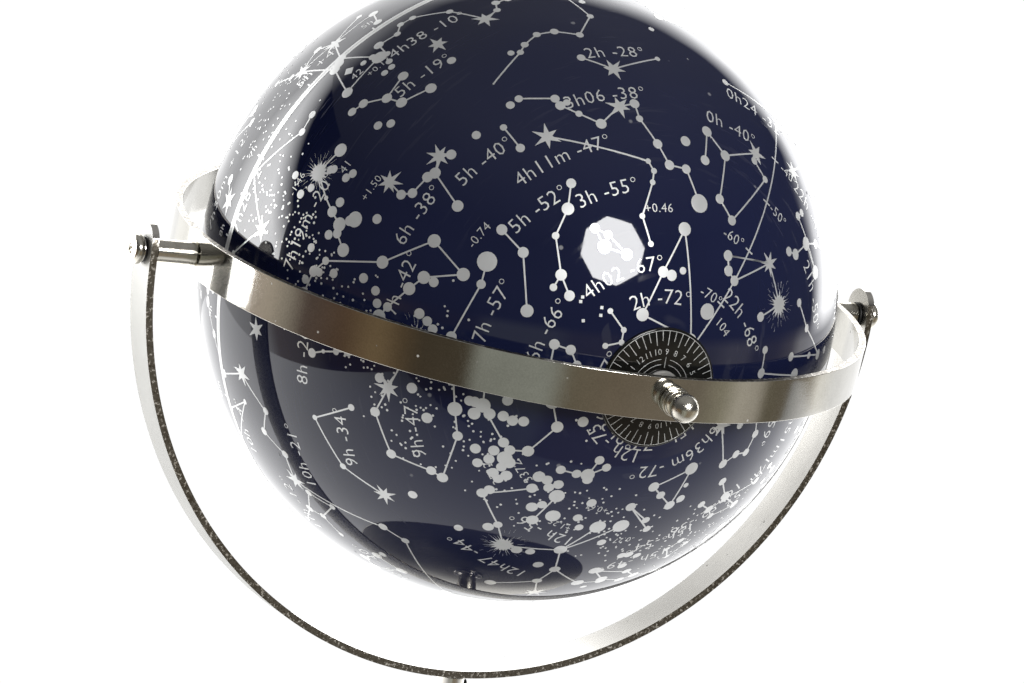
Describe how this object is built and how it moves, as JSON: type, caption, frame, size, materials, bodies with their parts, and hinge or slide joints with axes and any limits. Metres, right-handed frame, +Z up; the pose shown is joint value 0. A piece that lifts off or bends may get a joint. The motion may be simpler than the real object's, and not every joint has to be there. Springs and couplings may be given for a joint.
{
  "type": "desktop globe on stand",
  "caption": "Star globe on polar pins in a full steel ring that tilts in a half-round yoke on a weighted round stand.",
  "frame": {"origin": "middle of the stand's underside, on the surface it stands on", "axes": "+Z up, X along the ring's two pivots, -Y towards the ball's south pole at rest"},
  "size_m": [0.2622, 0.242, 0.2891],
  "materials": {
    "ball_shell": "deep navy gloss with a silver-grey print",
    "hour_dial": "black gloss with printed silver scale",
    "inner_band": "plain moulded",
    "strip_steel": "nickel-bright strip, faint lengthwise grain",
    "polished_steel": "turned and polished",
    "base_steel": "spun, circular brushing",
    "plain_steel": "plain turned",
    "cast_weight": "rough cast",
    "black_steel": "black oxide",
    "black_washer": "black nylon",
    "felt": "black felt"
  },
  "bodies": {
    "stand": {"base_cover": "base_steel", "base_weight": "cast_weight", "base_pad": "felt", "post_washer": "plain_steel", "post_nut": "plain_steel", "post": "polished_steel", "post_grub_screw": "black_steel", "yoke": "strip_steel", "yoke_screw": "polished_steel", "pivot_washer_left": "black_washer", "pivot_washer_right": "black_washer", "pivot_friction_washer_left": "black_washer", "pivot_friction_washer_right": "black_washer"},
    "ring": {"meridian_ring": "strip_steel", "pivot_spacer_left": "polished_steel", "pivot_spacer_right": "polished_steel", "pivot_nut_left": "polished_steel", "pivot_nut_right": "polished_steel", "pivot_screw_left": "polished_steel", "pivot_screw_right": "polished_steel", "finial_south": "polished_steel", "finial_north": "polished_steel", "finial_nut_south": "polished_steel", "finial_nut_north": "polished_steel"},
    "ball": {"hemisphere_south": "ball_shell", "hemisphere_north": "ball_shell", "equator_band": "inner_band", "pole_bush_south": "plain_steel", "pole_bush_north": "plain_steel", "bush_retainer_south": "plain_steel", "bush_retainer_north": "plain_steel"},
    "south_dial": {"hour_dial_south": "hour_dial"},
    "north_dial": {"hour_dial_north": "hour_dial"}
  },
  "joints": [
    {"name": "ring_tilt", "type": "hinge", "parent": "stand", "child": "ring", "pos_m": [0, 0, 0.1893], "axis": [1, 0, 0], "continuous": true},
    {"name": "globe_spin", "type": "hinge", "parent": "ring", "child": "ball", "pos_m": [0, 0, 0.1893], "axis": [0, 0.9945, 0.1045], "continuous": true},
    {"name": "south_dial_turn", "type": "hinge", "parent": "ball", "child": "south_dial", "pos_m": [0, 0, 0.1893], "axis": [0, 0.9945, 0.1045], "continuous": true},
    {"name": "north_dial_turn", "type": "hinge", "parent": "ball", "child": "north_dial", "pos_m": [0, 0, 0.1893], "axis": [0, 0.9945, 0.1045], "continuous": true}
  ]
}
